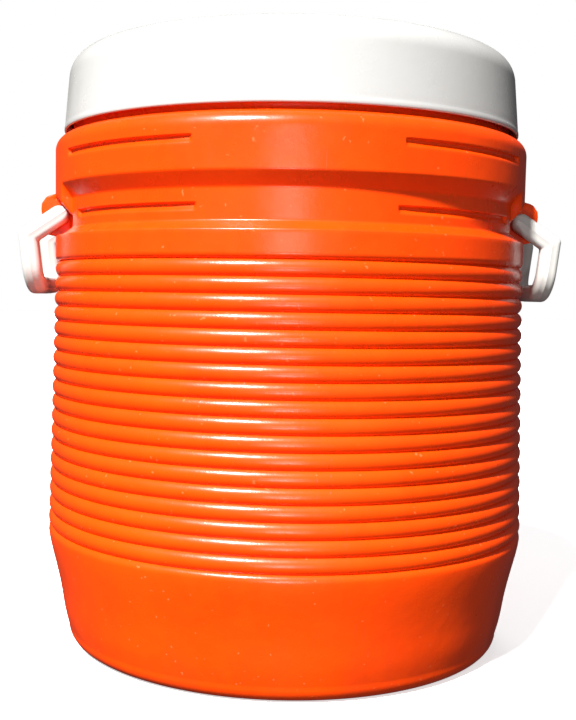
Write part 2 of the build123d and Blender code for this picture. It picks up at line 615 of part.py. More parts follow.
# ---------------------------------------------------------------------- export
PIECES = {
    "outer_shell": outer_shell,
    "inner_liner": inner_liner,
    "insulation_foam": insulation_foam,
    "foam_fill_plug": foam_fill_plug,
    "lid_cover": lid_cover,
    "lid_liner": lid_liner,
    "lid_gasket": lid_gasket,
    "lid_foam": lid_foam,
    "right_handle": right_handle,
    "left_handle": left_handle,
    "spigot_body": spigot_body,
    "spigot_bonnet": spigot_bonnet,
    "spigot_stem": spigot_stem,
    "stem_o_ring": stem_o_ring,
    "spigot_valve_seal": spigot_valve_seal,
    "spigot_button": spigot_button,
    "spigot_spring": spigot_spring,
    "spigot_outer_gasket": spigot_outer_gasket,
    "spigot_inner_gasket": spigot_inner_gasket,
    "spigot_nut": spigot_nut,
}
for name, piece in PIECES.items():
    piece.part.label = name
    export_step(piece.part, f"parts/{name}.step")
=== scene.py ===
import json
import math

import bpy
import numpy as np
from mathutils import Matrix, Vector


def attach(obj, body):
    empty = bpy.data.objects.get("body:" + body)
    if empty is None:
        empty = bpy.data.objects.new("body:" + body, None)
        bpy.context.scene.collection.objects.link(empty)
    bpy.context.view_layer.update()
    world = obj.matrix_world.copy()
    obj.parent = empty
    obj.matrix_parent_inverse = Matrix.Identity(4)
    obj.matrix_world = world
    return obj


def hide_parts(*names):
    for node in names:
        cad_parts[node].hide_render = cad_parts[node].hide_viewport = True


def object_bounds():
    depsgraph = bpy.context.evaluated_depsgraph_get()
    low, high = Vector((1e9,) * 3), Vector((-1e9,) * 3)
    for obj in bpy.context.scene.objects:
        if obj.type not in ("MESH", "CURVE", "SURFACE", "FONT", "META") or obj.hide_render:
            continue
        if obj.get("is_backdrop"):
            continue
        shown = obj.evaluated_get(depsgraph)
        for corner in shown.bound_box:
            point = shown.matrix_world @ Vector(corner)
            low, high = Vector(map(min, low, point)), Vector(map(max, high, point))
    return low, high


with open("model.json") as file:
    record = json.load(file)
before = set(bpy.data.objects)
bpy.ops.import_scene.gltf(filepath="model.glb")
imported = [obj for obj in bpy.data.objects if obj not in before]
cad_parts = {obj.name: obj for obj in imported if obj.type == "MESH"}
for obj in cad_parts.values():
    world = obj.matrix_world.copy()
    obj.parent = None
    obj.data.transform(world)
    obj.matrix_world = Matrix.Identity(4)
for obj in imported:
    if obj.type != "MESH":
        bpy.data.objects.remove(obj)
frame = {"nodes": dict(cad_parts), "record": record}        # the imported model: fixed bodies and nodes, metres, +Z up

CAD_LO, CAD_HI = (list(v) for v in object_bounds())
MM = 0.001
scene = bpy.context.scene


# ------------------------------------------------------------------ small tools
def smooth(t):
    t = np.clip(t, 0.0, 1.0)
    return t * t * (3 - 2 * t)


def smin(a, b, k):
    h = np.clip(0.5 + 0.5 * (b - a) / k, 0.0, 1.0)
    return b * (1 - h) + a * h - k * h * (1 - h)


def smax(a, b, k):
    return -smin(-a, -b, k)


def arc3(a, b, c, n):
    """n points on the arc from a through b to c, both ends included."""
    (ax, ay), (bx, by), (cx, cy) = a, b, c
    d = 2 * (ax * (by - cy) + bx * (cy - ay) + cx * (ay - by))
    ux = ((ax * ax + ay * ay) * (by - cy) + (bx * bx + by * by) * (cy - ay) + (cx * cx + cy * cy) * (ay - by)) / d
    uy = ((ax * ax + ay * ay) * (cx - bx) + (bx * bx + by * by) * (ax - cx) + (cx * cx + cy * cy) * (bx - ax)) / d
    r = math.hypot(ax - ux, ay - uy)
    t0, t1, t2 = (math.atan2(y - uy, x - ux) for x, y in (a, b, c))
    while t1 - t0 > math.pi: t1 -= 2 * math.pi
    while t1 - t0 < -math.pi: t1 += 2 * math.pi
    while t2 - t1 > math.pi: t2 -= 2 * math.pi
    while t2 - t1 < -math.pi: t2 += 2 * math.pi
    return [(ux + r * math.cos(t), uy + r * math.sin(t)) for t in np.linspace(t0, t2, n)]


def new_object(name, verts, faces, sharp=None):
    mesh = bpy.data.meshes.new(name)
    mesh.from_pydata([tuple(v) for v in verts], [], faces)
    mesh.validate()
    mesh.update()
    mesh.polygons.foreach_set("use_smooth", np.ones(len(mesh.polygons), bool))
    if sharp is not None:
        mesh.set_sharp_from_angle(angle=math.radians(sharp))
    obj = bpy.data.objects.new(name, mesh)
    scene.collection.objects.link(obj)
    return obj


def grid_faces(rows, cols, first=0, wrap=True):
    """Quads between consecutive rows of equal length."""
    faces = []
    last = cols if wrap else cols - 1
    for j in range(rows - 1):
        a, b = first + j * cols, first + (j + 1) * cols
        for i in range(last):
            k = (i + 1) % cols
            faces.append((a + i, a + k, b + k, b + i))
    return faces


def lathe(name, profile, segments, closed=True, sharp=None):
    """A body of revolution about Z from (r, z) in mm; points with r = 0 become poles."""
    verts, rows = [], []
    ang = np.linspace(0, 2 * math.pi, segments, endpoint=False)
    for r, z in profile:
        if r < 1e-6:
            rows.append([len(verts)])
            verts.append((0, 0, z * MM))
        else:
            rows.append(list(range(len(verts), len(verts) + segments)))
            verts += [(r * MM * math.cos(t), r * MM * math.sin(t), z * MM) for t in ang]
    faces = []
    pairs = list(zip(rows, rows[1:]))
    if closed and not (len(rows[0]) == 1 and len(rows[-1]) == 1):
        pairs.append((rows[-1], rows[0]))
    for a, b in pairs:
        for i in range(segments):
            k = (i + 1) % segments
            if len(a) == 1 and len(b) == 1:
                continue
            if len(a) == 1:
                faces.append((a[0], b[k], b[i]))
            elif len(b) == 1:
                faces.append((a[i], a[k], b[0]))
            else:
                faces.append((a[i], a[k], b[k], b[i]))
    return new_object(name, verts, faces, sharp)


# ------------------------------------------------------------------ outer shell
WALL = 3.5
FOOT_R, FOOT_IN_R, BASE_RAISE = 178.5, 152.0, 6.0
SKIRT = [(188.6, 13.0), (191.9, 26.0), (195.3, 46.0), (199.3, 65.0), (203.2, 81.0), (205.9, 95.4)]
RIBS, RIB_PITCH = 18, 12.374
GROOVE_TOP_Z, GROOVE_TOP_R, GROOVE_BOTTOM_R = 323.5, 197.0, 202.8
RIB_HEIGHT = 3.4
BAND_R, WAIST_R = 200.4, 192.3
LOWER_BAND_TOP, WAIST_LOW, WAIST_HIGH, TOP_BAND_LOW, TOP_BAND_HIGH = 344.0, 350.0, 373.5, 385.0, 415.5
SHOULDER_R, SHOULDER_Z = 189.0, 427.0
NECK_R, NECK_TOP, RIM_IN_R = 185.5, 450.0, 176.0
PAD_HALF, POCKET_HALF = 23.0, 23.6
POCKET_R, POCKET_LOW = 187.0, 345.5
LUG_HALF = 36.0
LUG = [(203.2, 345.0), (206.4, 349.0), (208.2, 358.0), (209.2, 367.0), (208.8, 371.8), (205.0, 377.2), (199.6, 379.5)]
FLUTE_FROM, FLUTE_TO, FLUTE_DEEP = 22.2, 62.0, 3.0
FLUTES = [(403.7, 409.6), (357.3, 363.2)]
RECESS_HALF, RECESS_Y, RECESS_ARCH = 34.0, 165.0, 63.0


def skirt_points(n):
    """Natural spline through the skirt's points, as (r, z)."""
    z = np.array([p[1] for p in SKIRT]); r = np.array([p[0] for p in SKIRT])
    h = np.diff(z)
    m = len(z)
    a = np.zeros((m, m)); b = np.zeros(m)
    a[0, 0], a[0, 1], b[0] = 2 * h[0], h[0], 6 * ((r[1] - r[0]) / h[0] - 0.28)
    a[-1, -1], a[-1, -2], b[-1] = 2 * h[-1], h[-1], 6 * (0.1 - (r[-1] - r[-2]) / h[-1])
    for i in range(1, m - 1):
        a[i, i - 1], a[i, i], a[i, i + 1] = h[i - 1], 2 * (h[i - 1] + h[i]), h[i]
        b[i] = 6 * ((r[i + 1] - r[i]) / h[i] - (r[i] - r[i - 1]) / h[i - 1])
    s = np.linalg.solve(a, b)
    out = []
    for q in np.linspace(z[0], z[-1], n):
        i = min(int(np.searchsorted(z, q, side="right")) - 1, m - 2)
        t0, t1 = z[i + 1] - q, q - z[i]
        v = (s[i] * t0 ** 3 + s[i + 1] * t1 ** 3) / (6 * h[i]) + (r[i] / h[i] - s[i] * h[i] / 6) * t0 + (r[i + 1] / h[i] - s[i + 1] * h[i] / 6) * t1
        out.append((float(v), float(q)))
    return out


def groove_r(z):
    return GROOVE_TOP_R + (GROOVE_TOP_Z - z) / (RIBS * RIB_PITCH) * (GROOVE_BOTTOM_R - GROOVE_TOP_R)


def rib_rows():
    """(r, z) from the lowest groove to the highest; each groove is a crease between two arcs."""
    rows = []
    grooves = [(groove_r(GROOVE_TOP_Z - i * RIB_PITCH), GROOVE_TOP_Z - i * RIB_PITCH) for i in range(RIBS, -1, -1)]
    half = RIB_PITCH / 2
    radius = (half * half + RIB_HEIGHT * RIB_HEIGHT) / (2 * RIB_HEIGHT)
    top = math.asin(half / radius)
    for n, (g, z) in enumerate(grooves):
        rows.append((g, z))
        if n == len(grooves) - 1:
            break
        for f in (0.94, 0.86, 0.75, 0.61, 0.44, 0.23, 0.0, -0.23, -0.44, -0.61, -0.75, -0.86, -0.94):
            t = -top * f
            zz = z + half + radius * math.sin(t)
            base = g + (grooves[n + 1][0] - g) * (zz - z) / RIB_PITCH
            rows.append((base + RIB_HEIGHT - radius * (1 - math.cos(t)), zz))
    return rows


def crease_grooves(obj):
    """The grooves between the ribs are sharp edges; everything else stays smooth."""
    mesh = obj.data
    co = np.empty(len(mesh.vertices) * 3); mesh.vertices.foreach_get("co", co)
    co = co.reshape(-1, 3) / MM
    r = np.hypot(co[:, 0], co[:, 1])
    step = (GROOVE_TOP_Z - co[:, 2]) / RIB_PITCH
    hit = (np.abs(step - np.round(step)) * RIB_PITCH < 0.02) & (step > -0.5) & (step < RIBS + 0.5) & (np.abs(r - np.vectorize(groove_r)(co[:, 2])) < 0.3)
    ed = np.empty(len(mesh.edges) * 2, int); mesh.edges.foreach_get("vertices", ed)
    ed = ed.reshape(-1, 2)
    attr = mesh.attributes.get("sharp_edge") or mesh.attributes.new("sharp_edge", "BOOLEAN", "EDGE")
    attr.data.foreach_set("value", hit[ed[:, 0]] & hit[ed[:, 1]])


def waist_r(z):
    """The band and waist profile, with its edges rounded."""
    zs = [300, LOWER_BAND_TOP, WAIST_LOW, WAIST_HIGH, TOP_BAND_LOW, 440]
    rs = [BAND_R, BAND_R, WAIST_R, WAIST_R, BAND_R, BAND_R]
    out = np.zeros_like(z)
    offs = np.linspace(-2.2, 2.2, 13)
    wts = np.exp(-(offs / 1.0) ** 2)
    for o, w in zip(offs, wts / wts.sum()):
        out += w * np.interp(z + o, zs, rs)
    return out


def body_r(theta, z):
    """Outer radius of the bands at azimuth theta (degrees, 0 = +X, 270 = front) and height z, both arrays in mm."""
    side = np.abs((theta + 90.0) % 180.0 - 90.0)             # angle from the X axis, either end
    front = np.abs((theta - 90.0) % 180.0)
    front = np.minimum(front, 180.0 - front)                 # angle from the Y axis, either end
    waist = waist_r(z)
    # pad at full radius round each handle, its two edges a few millimetres wide
    on_pad = smooth((PAD_HALF + 0.75 - side) / 1.5)
    r = waist + (BAND_R - waist) * on_pad
    # pocket behind each bail: ceiling lower towards the pad's edges
    low_ceil = smooth((side - 16.0) / 7.0)
    c_in = 370.6 - 17.0 * low_ceil
    c_out = 377.0 - 7.0 * low_ceil
    climb = np.clip((z - c_in) / (c_out - c_in), 0, 1)
    climb = 0.75 * climb + 0.25 * smooth(climb)
    ledge = smooth((346.4 - z) / 2.3)
    depth = (BAND_R - POCKET_R) * np.maximum(climb, ledge)
    in_pocket = smooth((POCKET_HALF + 0.55 - side) / 1.1)
    pocket = POCKET_R + depth
    pocket_here = np.where((z > 343.5) & (z < 392), pocket, 1e3)
    r = r + (np.minimum(r, pocket_here) - r) * in_pocket
    # lug between the arms
    a = np.radians(np.maximum(side, 1e-3))
    lug_z = np.array([p[1] for p in LUG]); lug_x = np.array([p[0] for p in LUG])
    lx = np.zeros_like(z)
    offs = np.linspace(-1.6, 1.6, 9)
    wts = np.exp(-(offs / 0.8) ** 2)
    zs = np.concatenate(([300.0, 344.2], lug_z, [380.6, 440.0]))
    xs = np.concatenate(([150.0, 190.0], lug_x, [188.0, 150.0]))
    for o, w in zip(offs, wts / wts.sum()):
        lx += w * np.interp(z + o, zs, xs)
    lug = smin(lx / np.cos(np.minimum(a, 1.2)), LUG_HALF / np.sin(a), 2.2)
    r = smax(r, np.where(side < 14, lug, 0.0), 0.9)
    # short moulded grooves
    for z0, z1 in FLUTES:
        top = smooth((z1 + 0.25 - z) / 1.3)
        bottom = smooth((z - z0 + 0.9) / 4.6)
        ends = smooth((front - FLUTE_FROM + 0.35) / 0.9) * smooth((FLUTE_TO + 0.4 - front) / 1.0)
        depth = FLUTE_DEEP * (0.72 + 0.28 * smooth((front - FLUTE_FROM) / 7.0))
        r = r - depth * top * bottom * ends
    return r


def recess_in(x, z, grow, edge):
    """0 outside the spigot recess, 1 inside it, over an edge so many mm wide."""
    d = np.where(z < RECESS_ARCH, RECESS_HALF + grow - np.abs(x), RECESS_HALF + grow - np.hypot(x, z - RECESS_ARCH))
    return smooth(d / edge)


def recess_floor(z):
    return np.where(z < 16.0, RECESS_Y + (16.0 - z) * 12.5 / 17.0, RECESS_Y)


def place(theta, r, z, in_recess=True):
    """Points in mm; those inside the spigot recess are carried back along Y to its floor."""
    t = np.radians(theta)
    x, y = r * np.cos(t), r * np.sin(t)
    z = np.broadcast_to(z, x.shape)
    if in_recess:
        k = recess_in(x, z, 0.0, 4.2) * (y > 100)
        floor = recess_floor(z) + 0.0 * y
        y = np.where(y > floor, y + (floor - y) * k, y)
    return np.stack([x, y, z], -1)


def make_shell():
    base = np.arange(288) * 1.25
    def with_extra(extra):
        extra = [e % 360 for e in extra]
        keep = [e for e in sorted(set(round(e, 3) for e in extra)) if min(e % 1.25, 1.25 - e % 1.25) > 0.04]
        return np.array(sorted(list(base) + keep))
    upper = []
    for middle in (0, 180):
        for s in (1, -1):
            upper += [middle + s * a for a in np.arange(21.9, 24.6, 0.22)]
            upper += [middle + s * a for a in np.arange(8.4, 11.9, 0.18)]
            upper += [middle + s * a for a in np.arange(12.2, 21.5, 0.62)]
    for middle in (90, 270):
        for s in (1, -1):
            for e in (FLUTE_FROM, FLUTE_TO):
                upper += [middle + s * a for a in np.arange(e - 0.7, e + 0.75, 0.2)]
    upper = with_extra(upper)
    lower = with_extra([90 + a for a in np.arange(-14.0, 14.01, 0.25)])

    rows = []                # (columns, points)
    def add(cols, r, z, kind):
        r = np.full(len(cols), float(r)); z = np.full(len(cols), float(z))
        if kind == "bands":
            r = body_r(cols, z)
        rows.append((cols, place(cols, r, z, kind in ("low",))))

    # underside and foot
    for r, z in ((11.0, 9.0), (11.0, 6.5), (11.5, 6.0), (14.5, 6.0), (40, 6.0), (80, 6.0), (115, 6.0), (138, 6.0)):
        add(base, r, z, "low")
    for r, z in ((143.4, 6.0), (145.0, 5.75), (146.6, 4.8), (149.9, 1.5), (151.3, 0.4), (152.6, 0.0), (158, 0.0), (165, 0.0), (171, 0.0), (175.0, 0.0)):
        add(lower, r, z, "low")
    for r, z in arc3((178.0, 0.0), (185.2, 4.0), SKIRT[0], 9):
        add(lower, r, z, "low")
    for r, z in skirt_points(62)[1:]:
        add(lower, r, z, "low")
    # from the skirt into the ribs
    lowest = (groove_r(GROOVE_TOP_Z - RIBS * RIB_PITCH), GROOVE_TOP_Z - RIBS * RIB_PITCH)
    for r, z in arc3(SKIRT[-1], (205.15, 98.7), lowest, 7)[1:-1]:
        add(lower, r, z, "low")
    for r, z in rib_rows():
        add(base, r, z, "plain")
    # into the lower band
    for r, z in arc3((GROOVE_TOP_R, GROOVE_TOP_Z), (199.5, 325.2), (BAND_R, 328.6), 7)[1:]:
        add(base, r, z, "plain")
    zs = list(np.arange(330.0, 343.0, 2.2)) + list(np.arange(343.2, 351.4, 0.33)) + list(np.arange(351.8, 356.4, 0.8)) + list(np.arange(356.6, 364.2, 0.42)) \
        + list(np.arange(364.6, 370.0, 0.7)) + list(np.arange(370.4, 387.2, 0.55)) + list(np.arange(388.0, 402.6, 1.7)) + list(np.arange(403.0, 410.4, 0.42)) + [411.6, 413.4, 415.5]
    for z in zs:
        add(upper, 0, z, "bands")
    # shoulder, neck, bead, rim
    for r, z in arc3((BAND_R, TOP_BAND_HIGH), (197.1, 423.5), (SHOULDER_R, SHOULDER_Z), 12)[1:]:
        add(base, r, z, "plain")
    for r, z in ((187.2, 427.15), (186.1, 427.5), (185.6, 428.4), (185.5, 430.5), (185.5, 437.4), (185.8, 438.6), (186.4, 439.4), (186.6, 440.0),
                 (186.4, 440.6), (185.8, 441.4), (185.5, 442.6), (185.5, 447.6), (185.2, 448.9), (184.6, 449.7), (183.5, 450.0), (179, 450.0), (176.6, 450.0), (176.0, 449.4), (176.0, 447.1), (176.6, 446.5), (181.2, 446.5)):
        add(base, r, z, "plain")
    # inside of the wall, down to the pour hole
    inner = [(182, 445.6), (182, 436), (182, 424), (186, 419.5), (191, 414.5), (194.2, 411), (194.5, 408.5), (194.2, 402), (194.5, 396), (194.5, 389), (192, 384), (188.8, 378),
             (188.8, 372), (188.8, 366), (188.6, 360), (188.0, 354), (188.8, 349), (188.8, 346), (191, 342.6), (193.5, 338), (193.5, 330), (193.5, 322)]
    inner += [(193.5 + (199.2 - 193.5) * (322 - z) / 222.0, z) for z in np.arange(304, 104, -16)]
    inner += [(199.0, 106), (199.2, 101), (199.2, 97), (199.2, 92), (199.2, 86), (199.0, 80), (197.2, 72), (195.4, 64), (193.4, 55), (191.3, 46), (189.2, 36), (187.4, 26), (185.4, 16), (183.2, 12.3), (177, 5.2), (174.6, 3.5),
              (164, 3.5), (153.5, 3.5), (150.6, 4.6), (146.4, 8.7), (144.4, 9.5), (120, 9.5), (80, 9.5), (40, 9.5), (14, 9.5), (11.3, 9.5)]
    for r, z in inner:
        cols = base
        rr = np.full(len(cols), float(r))
        side = np.abs((cols + 90.0) % 180.0 - 90.0)
        if 338 < z < 392:
            near = smooth((POCKET_HALF + 6.0 - side) / 3.5) * smooth((z - 338) / 3.5) * smooth((392 - z) / 4.0)
            rr = rr + (np.minimum(rr, POCKET_R - WALL) - rr) * near
        t = np.radians(cols)
        x, y = rr * np.cos(t), rr * np.sin(t)
        if z < 106:
            k = recess_in(x, np.full_like(x, z), 10.0, 6.0) * (y > 100)
            fl = recess_floor(np.full_like(x, z)) - WALL
            y = np.where(y > fl, y + (fl - y) * k, y)
        rows.append((cols, np.stack([x, y, np.full_like(x, z)], -1)))

    verts, index = [], []
    for cols, pts in rows:
        index.append(len(verts))
        pts = pts * MM
        pts[:, 1] = np.clip(pts[:, 1], CAD_LO[1], CAD_HI[1])
        verts.extend(pts)
    faces = []
    order = list(range(len(rows))) + [0]
    for a, b in zip(order, order[1:]):
        ca, cb = rows[a][0], rows[b][0]
        ia, ib = index[a], index[b]
        if len(ca) == len(cb):
            n = len(ca)
            for i in range(n):
                k = (i + 1) % n
                faces.append((ia + i, ia + k, ib + k, ib + i))
        else:
            # one row has extra columns: join base interval by base interval
            pa = {round(float(c), 3): i for i, c in enumerate(ca)}
            pb = {round(float(c), 3): i for i, c in enumerate(cb)}
            for n in range(len(base)):
                lo, hi = round(float(base[n]), 3), round(float(base[(n + 1) % len(base)]), 3)
                def run(p, count, start):
                    i, j = p[lo], p[hi]
                    if j <= i:
                        j += count
                    return [start + q % count for q in range(i, j + 1)]
                faces.append(tuple(run(pa, len(ca), ia) + run(pb, len(cb), ib)[::-1]))
    return new_object("shell", verts, faces)


shell = make_shell()
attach(shell, "jug")
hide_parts("outer_shell")


# -------------------------------------------------------------------------- lid
def bezier(a, b, c, d, n):
    out = []
    for t in np.linspace(0, 1, n):
        k = 1 - t
        out.append(tuple(k ** 3 * a[i] + 3 * k * k * t * b[i] + 3 * k * t * t * c[i] + t ** 3 * d[i] for i in (0, 1)))
    return out


lid_out = [(191.75, 431.5), (192.35, 431.52), (192.85, 431.75), (193.12, 432.3), (193.22, 433.1), (193.2, 434.2),
           (193.0, 435.2), (192.75, 436.1), (192.6, 437.0), (192.5, 439.0)]
lid_out += [(192.5 + (189.2 - 192.5) * (z - 439.0) / 37.0, z) for z in np.arange(442.0, 475.9, 3.4)]
lid_out += bezier((189.2, 476.0), (188.4, 486.2), (182.4, 494.0), (171.0, 496.3), 22)
lid_out += [(167.0, 496.95), (162.0, 497.45), (150.0, 497.85), (132.0, 498.2), (110.0, 498.5), (85.0, 498.72), (60.0, 498.87), (35.0, 498.96), (14.0, 498.99), (0, 499.0)]
lid_in = [(0, 496.0), (20.0, 495.97), (60.0, 495.85), (110.0, 495.5), (150.0, 494.9), (161.0, 494.5), (170.0, 493.2), (176.5, 490.6), (181.5, 486.4),
          (184.6, 481.6), (186.0, 476.5), (186.7, 468.0), (187.1, 461.0), (187.0, 460.0), (184.8, 458.6), (184.6, 457.6), (184.6, 456.6), (184.9, 456.42), (187.1, 456.4), (187.55, 456.0),
          (187.9, 453.0), (188.3, 449.0), (188.6, 446.0), (188.85, 442.5), (188.8, 441.0), (188.2, 439.2), (188.1, 438.4), (188.5, 437.4), (189.3, 435.9), (190.4, 433.9), (191.3, 432.1)]
lid = lathe("lid_cover_skin", lid_out + lid_in, 288)
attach(lid, "lid")
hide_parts("lid_cover")

# ------------------------------------------------------------------------ bails
PIVOT, ELBOW, GRIP = (192.7, 361.3), (218.3, 344.1), (212.8, 296.5)
HALF_T = 8.0                       # half thickness seen from the side
ARM_MID, ARM_HALF = 44.0, 6.5      # the arms lie from 37.5 to 50.5
GRIP_HALF = 6.95
CORNER_R = 17.5                    # centre line of the lower corners
PEG_R, PEG_TIP = 4.5, 26.5


def unit(a, b):
    d = math.hypot(b[0] - a[0], b[1] - a[1])
    return (b[0] - a[0]) / d, (b[1] - a[1]) / d


U1, U2 = unit(PIVOT, ELBOW), unit(ELBOW, GRIP)
N1, N2 = (-U1[1], U1[0]), (-U2[1], U2[0])
TURN = 1 + N1[0] * N2[0] + N1[1] * N2[1]
MIT = ((N1[0] + N2[0]) / TURN, (N1[1] + N2[1]) / TURN)


def bail_section():
    """(u, v) round the section: u outwards (half 8), v across (half 1), with a fine parting ridge in the middle of each side."""
    pts = []
    c, m = 4.9, 7
    hu, hv = HALF_T, 6.5
    for su, sv, a0 in ((1, 1, 0), (-1, 1, 90), (-1, -1, 180), (1, -1, 270)):
        cu, cv = su * (hu - c), sv * (hv - c)
        for k in range(m):
            a = math.radians(a0 + 90.0 * (k + 0.5) / m)
            e = 0.94
            ca, sa = math.cos(a), math.sin(a)
            pts.append((cu + c * math.copysign(abs(ca) ** e, ca), cv + c * math.copysign(abs(sa) ** e, sa)))
        if su == 1 and sv == 1:
            pts += [(0.45, hv), (0.2, hv + 0.16), (-0.2, hv + 0.16), (-0.45, hv)]
        if su == -1 and sv == -1:
            pts += [(-0.45, -hv), (-0.2, -hv - 0.16), (0.2, -hv - 0.16), (0.45, -hv)]
    return [(u, v / 6.5) for u, v in pts]


def bail_mesh(name, sign):
    sec = bail_section()
    n = len(sec)
    rows = []

    def upper_xz(u, s):            # point at distance s down the upper arm
        return PIVOT[0] + U1[0] * s + N1[0] * u, PIVOT[1] + U1[1] * s + N1[1] * u

    len1 = math.hypot(ELBOW[0] - PIVOT[0], ELBOW[1] - PIVOT[1])
    len2 = math.hypot(GRIP[0] - ELBOW[0], GRIP[1] - ELBOW[1])
    half_angle = 0.5 * math.acos(U1[0] * U2[0] + U1[1] * U2[1])

    def elbow_xz(u, f):
        """The offset line's corner, rounded; f runs from 0 on the upper arm to 1 on the lower one."""
        rad = 2.4 + (u + HALF_T) / 16.0 * 1.6
        cx, cz = ELBOW[0] + MIT[0] * u, ELBOW[1] + MIT[1] * u
        cut = rad * math.tan(half_angle)
        a = (cx - U1[0] * cut, cz - U1[1] * cut)
        c = (cx + U2[0] * cut, cz + U2[1] * cut)
        # centre of the rounding, on the inner side
        ox, oz = a[0] - N1[0] * rad, a[1] - N1[1] * rad
        t0, t1 = math.atan2(a[1] - oz, a[0] - ox), math.atan2(c[1] - oz, c[0] - ox)
        if t1 - t0 > math.pi: t1 -= 2 * math.pi
        if t1 - t0 < -math.pi: t1 += 2 * math.pi
        t = t0 + (t1 - t0) * f
        return ox + rad * math.cos(t), oz + rad * math.sin(t)

    corner_z_s = len2 - GRIP_HALF * 1.0 - CORNER_R      # distance below the elbow where the corner starts

    def arm_rows(side):
        out = []
        # round end at the pivot
        for a in np.radians([90, 84, 76, 66, 54, 40, 26, 12]):
            ca, sa = math.cos(a), math.sin(a)
            row = []
            for u, v in sec:
                if a > 1.5:
                    row.append(None)
                    continue
                uu, vv = u * ca ** 0.98, v * ARM_HALF * ca ** 0.30
                x, z = upper_xz(uu, -HALF_T * sa)
                row.append((x, side * (ARM_MID) + vv * side, z))
            out.append(row)
        for s in np.linspace(0, len1 - 9.5, 7):
            out.append([upper_xz(u, s)[:1] + (side * (ARM_MID + v * ARM_HALF),) + upper_xz(u, s)[1:] for u, v in sec])
        for f in np.linspace(0, 1, 9):
            out.append([(elbow_xz(u, f)[0], side * (ARM_MID + v * ARM_HALF), elbow_xz(u, f)[1]) for u, v in sec])
        return out

    def lower_xyz(s, y, u):
        return (ELBOW[0] + U2[0] * s + N2[0] * u, y, ELBOW[1] + U2[1] * s + N2[1] * u)

    def lower_rows():
        """From just under the elbow on +y, round the grip, to just under the elbow on -y."""
        out = []
        for s in np.linspace(8.5, corner_z_s, 6):
            out.append([lower_xyz(s, ARM_MID + v * ARM_HALF, u) for u, v in sec])
        for a in np.radians(np.linspace(0, 90, 12))[1:]:
            half = ARM_HALF + (GRIP_HALF - ARM_HALF) * smooth(a / (math.pi / 2))
            out.append([lower_xyz(corner_z_s + (CORNER_R + v * half) * math.sin(a), ARM_MID - CORNER_R + (CORNER_R + v * half) * math.cos(a), u) for u, v in sec])
        g0, g1 = ARM_MID - CORNER_R, -(ARM_MID - CORNER_R)
        for y in np.linspace(g0, g1, 9)[1:-1]:
            out.append([lower_xyz(corner_z_s + CORNER_R + v * GRIP_HALF, y, u) for u, v in sec])
        for a in np.radians(np.linspace(90, 0, 12))[:-1]:
            half = ARM_HALF + (GRIP_HALF - ARM_HALF) * smooth(a / (math.pi / 2))
            out.append([lower_xyz(corner_z_s + (CORNER_R + v * half) * math.sin(a), -(ARM_MID - CORNER_R) - (CORNER_R + v * half) * math.cos(a), u) for u, v in sec])
        for s in np.linspace(corner_z_s, 8.5, 6):
            out.append([lower_xyz(s, -(ARM_MID + v * ARM_HALF), u) for u, v in sec])
        return out

    first = arm_rows(1)[1:]
    last = arm_rows(-1)[1:][::-1]
    rows = first + lower_rows() + last
    verts = [p for row in rows for p in row]
    faces = grid_faces(len(rows), n)
    for row, side, at in ((rows[0], 1, 0), (rows[-1], -1, (len(rows) - 1) * n)):
        x, z = upper_xz(0, -HALF_T * 1.0)
        verts.append((x, side * ARM_MID, z))
        tip = len(verts) - 1
        for i in range(n):
            k = (i + 1) % n
            faces.append((tip, at + k, at + i) if side == 1 else (tip, at + i, at + k))
    # pegs, from the arms' inner faces into the lug
    m = 28
    for side in (1, -1):
        start = len(verts)
        prof = [(0.0, PEG_TIP), (3.4, PEG_TIP), (4.2, PEG_TIP + 0.35), (PEG_R, PEG_TIP + 1.1), (PEG_R, 37.0), (PEG_R + 0.1, 37.2), (6.6, 37.35), (6.9, 37.7), (6.9, 41.0), (0.0, 41.0)]
        ring = []
        for r, y in prof:
            if r == 0:
                ring.append([len(verts)])
                verts.append((PIVOT[0], side * y, PIVOT[1]))
            else:
                ring.append(list(range(len(verts), len(verts) + m)))
                verts += [(PIVOT[0] + r * math.cos(t), side * y, PIVOT[1] + r * math.sin(t)) for t in np.linspace(0, 2 * math.pi, m, endpoint=False)]
        for a, b in zip(ring, ring[1:]):
            for i in range(m):
                k = (i + 1) % m
                if len(a) == 1:
                    f = (a[0], b[i], b[k])
                elif len(b) == 1:
                    f = (a[k], a[i], b[0])
                else:
                    f = (a[k], a[i], b[i], b[k])
                faces.append(f if side == 1 else f[::-1])
    verts = [(sign * x * MM, y * MM, z * MM) for x, y, z in verts]
    obj = new_object(name, verts, faces)
    bm_fix(obj)
    return obj


def bm_fix(obj):
    """Make every closed shell of the mesh face outwards."""
    import bmesh
    bm = bmesh.new()
    bm.from_mesh(obj.data)
    bmesh.ops.recalc_face_normals(bm, faces=bm.faces)
    bm.to_mesh(obj.data)
    bm.free()
    obj.data.polygons.foreach_set("use_smooth", np.ones(len(obj.data.polygons), bool))


for obj in (shell, lid):
    bm_fix(obj)
crease_grooves(shell)
right = bail_mesh("bail_right", 1)
left = bail_mesh("bail_left", -1)
for obj, body, node in ((right, "right_bail", "right_handle"), (left, "left_bail", "left_handle")):
    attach(obj, body)
    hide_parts(node)


